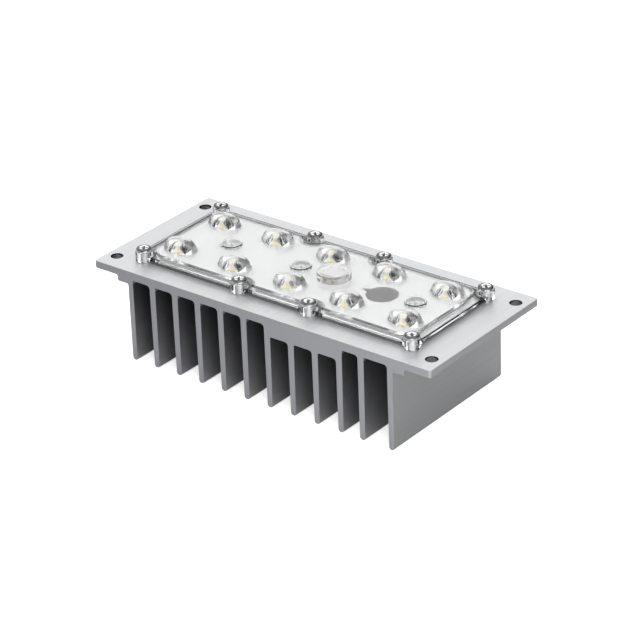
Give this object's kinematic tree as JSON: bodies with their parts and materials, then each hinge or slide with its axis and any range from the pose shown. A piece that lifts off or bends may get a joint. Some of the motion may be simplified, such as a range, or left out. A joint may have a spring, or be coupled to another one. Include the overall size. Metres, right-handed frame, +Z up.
{
  "type": "led light module",
  "caption": "Flat light module: finned heat sink with a drilled flange, white board with LEDs, gasket and a clear screwed-down lens panel.",
  "frame": {"origin": "middle of the footprint at the level of the fin tips, on which the module stands", "axes": "+X along the plate, +Y across it along the fins, +Z up out of the lens panel"},
  "size_m": [0.16, 0.069, 0.0458],
  "materials": {
    "aluminium": "satin, clear anodised",
    "thermal_pad": "matte",
    "board_white": "satin white solder mask",
    "grey_rubber": "matte",
    "nylon_white": "satin",
    "brass_contact": "bright",
    "gasket_rubber": "matte",
    "clear_plastic": "gloss, clear",
    "led_ceramic": "matte ceramic",
    "phosphor": "matte",
    "screw_steel": "bright plated"
  },
  "bodies": {
    "root": {"heatsink": "aluminium", "thermal_pad": "thermal_pad", "circuit_board": "board_white", "cable_grommet": "grey_rubber", "wire_terminal": "nylon_white", "terminal_contact_1": "brass_contact", "terminal_contact_2": "brass_contact", "cover_gasket": "gasket_rubber", "lens_panel": "clear_plastic", "led_1_base": "led_ceramic", "led_1_phosphor": "phosphor", "led_2_base": "led_ceramic", "led_2_phosphor": "phosphor", "led_3_base": "led_ceramic", "led_3_phosphor": "phosphor", "led_4_base": "led_ceramic", "led_4_phosphor": "phosphor", "led_5_base": "led_ceramic", "led_5_phosphor": "phosphor", "led_6_base": "led_ceramic", "led_6_phosphor": "phosphor", "led_7_base": "led_ceramic", "led_7_phosphor": "phosphor", "led_8_base": "led_ceramic", "led_8_phosphor": "phosphor", "led_9_base": "led_ceramic", "led_9_phosphor": "phosphor", "led_10_base": "led_ceramic", "led_10_phosphor": "phosphor", "cover_screw_1": "screw_steel", "cover_screw_2": "screw_steel", "cover_screw_3": "screw_steel", "cover_screw_4": "screw_steel", "cover_screw_5": "screw_steel", "cover_screw_6": "screw_steel", "cover_screw_7": "screw_steel", "cover_screw_8": "screw_steel", "board_screw_1": "screw_steel", "board_screw_2": "screw_steel", "board_screw_3": "screw_steel"}
  },
  "joints": []
}
